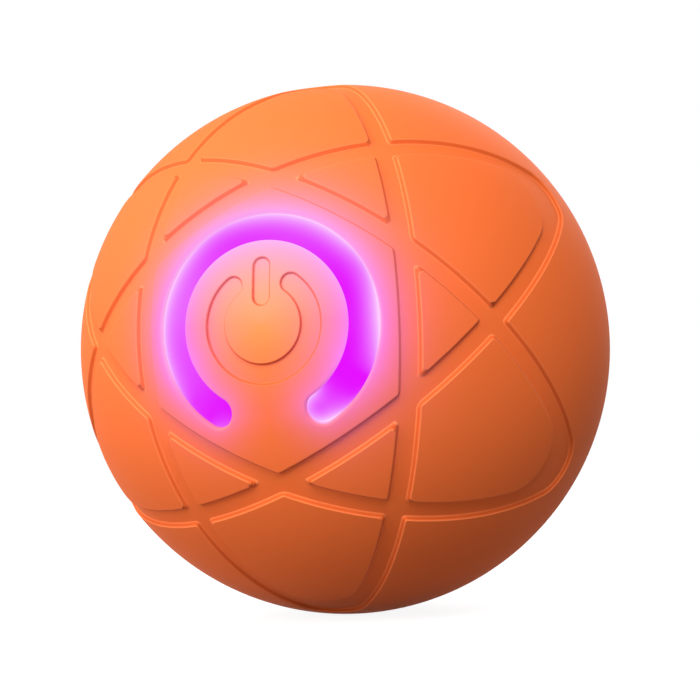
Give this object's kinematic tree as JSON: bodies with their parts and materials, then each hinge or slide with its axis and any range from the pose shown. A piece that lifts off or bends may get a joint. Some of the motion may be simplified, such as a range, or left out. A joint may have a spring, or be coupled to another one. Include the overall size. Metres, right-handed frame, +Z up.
{
  "type": "interactive dog ball",
  "caption": "Self-rolling dog toy ball with a soft grooved cover, a light ring round a press button, a charging port under a plug, and a motor that swings an inner weight",
  "frame": {"origin": "centre of the ball", "axes": "-Y is the way the button faces, +Z is up, away from the open ends of the light ring, and -X is the side with the charging port"},
  "size_m": [0.08, 0.08, 0.08],
  "materials": {
    "cover_orange": "matte soft rubber with a fine grain, bright orange",
    "light_magenta": "translucent light guide, lit magenta",
    "shell_white": "moulded white plastic",
    "frame_black": "moulded black plastic",
    "seal_grey": "soft grey seal",
    "board_green": "green circuit board",
    "chip_black": "black moulded package",
    "led_white": "white LED package",
    "steel": "plain bright steel",
    "weight_steel": "cast steel weight, dull",
    "brass": "turned brass",
    "gear_cream": "natural moulded gear plastic",
    "cell_blue": "cell can in a blue sleeve",
    "lead_red": "red lead insulation",
    "lead_black": "black lead insulation"
  },
  "bodies": {
    "ball": {"front_cover": "cover_orange", "rear_cover": "cover_orange", "light_guide": "light_magenta", "front_shell": "shell_white", "rear_shell": "shell_white", "button_guide": "shell_white", "chassis_plate": "frame_black", "motor_bracket": "frame_black", "gearbox_lid": "frame_black", "battery_cradle": "frame_black", "seal_ring": "seal_grey", "main_board": "board_green", "charge_board": "board_green", "switch_body": "chip_black", "control_chip": "chip_black", "motor_driver_chip": "chip_black", "motion_sensor": "chip_black", "led_1": "led_white", "led_2": "led_white", "led_3": "led_white", "led_4": "led_white", "led_5": "led_white", "led_6": "led_white", "motor_can": "steel", "first_axle": "steel", "second_axle": "steel", "usb_socket": "steel", "shell_screw_1": "steel", "shell_screw_2": "steel", "shell_screw_3": "steel", "shell_screw_4": "steel", "board_screw_1": "steel", "board_screw_2": "steel", "board_screw_3": "steel", "chassis_screw_1": "steel", "chassis_screw_2": "steel", "chassis_screw_3": "steel", "bracket_screw_1": "steel", "bracket_screw_2": "steel", "lid_screw_1": "steel", "lid_screw_2": "steel", "front_bush": "brass", "rear_bush": "brass", "battery_cell": "cell_blue", "motor_lead_red": "lead_red", "battery_lead_red": "lead_red", "motor_lead_black": "lead_black", "battery_lead_black": "lead_black", "charge_cable": "lead_black"},
    "button": {"button_pad": "cover_orange", "button_actuator": "shell_white", "switch_plunger": "frame_black"},
    "plug": {"port_plug": "cover_orange"},
    "weight": {"output_gear": "gear_cream", "output_shaft": "steel", "counterweight": "weight_steel", "weight_screw": "steel"},
    "second_gear_body": {"second_gear": "gear_cream"},
    "first_gear_body": {"first_gear": "gear_cream"},
    "pinion": {"motor_pinion": "brass"}
  },
  "joints": [
    {"name": "button_press", "type": "slide", "parent": "ball", "child": "button", "axis": [0, 1, 0], "range_m": [0, 0.0008], "stiffness_N_per_m": 2500},
    {"name": "plug_pull", "type": "slide", "parent": "ball", "child": "plug", "axis": [-1, 0, 0], "range_m": [0, 0.012]},
    {"name": "weight_spin", "type": "hinge", "parent": "ball", "child": "weight", "pos_m": [0, 0, 0], "axis": [0, 1, 0], "continuous": true},
    {"name": "second_gear_spin", "type": "hinge", "parent": "ball", "child": "second_gear_body", "pos_m": [-0.01039, 0, 0.006], "axis": [0, 1, 0], "continuous": true},
    {"name": "first_gear_spin", "type": "hinge", "parent": "ball", "child": "first_gear_body", "pos_m": [0, 0, 0.012], "axis": [0, 1, 0], "continuous": true},
    {"name": "motor_pinion_spin", "type": "hinge", "parent": "ball", "child": "pinion", "pos_m": [0.01039, 0, 0.006], "axis": [0, 1, 0], "continuous": true}
  ],
  "couplings": [
    {"joint": "second_gear_spin", "follows": "weight_spin", "ratio": -3},
    {"joint": "first_gear_spin", "follows": "weight_spin", "ratio": 9},
    {"joint": "motor_pinion_spin", "follows": "weight_spin", "ratio": -27}
  ]
}
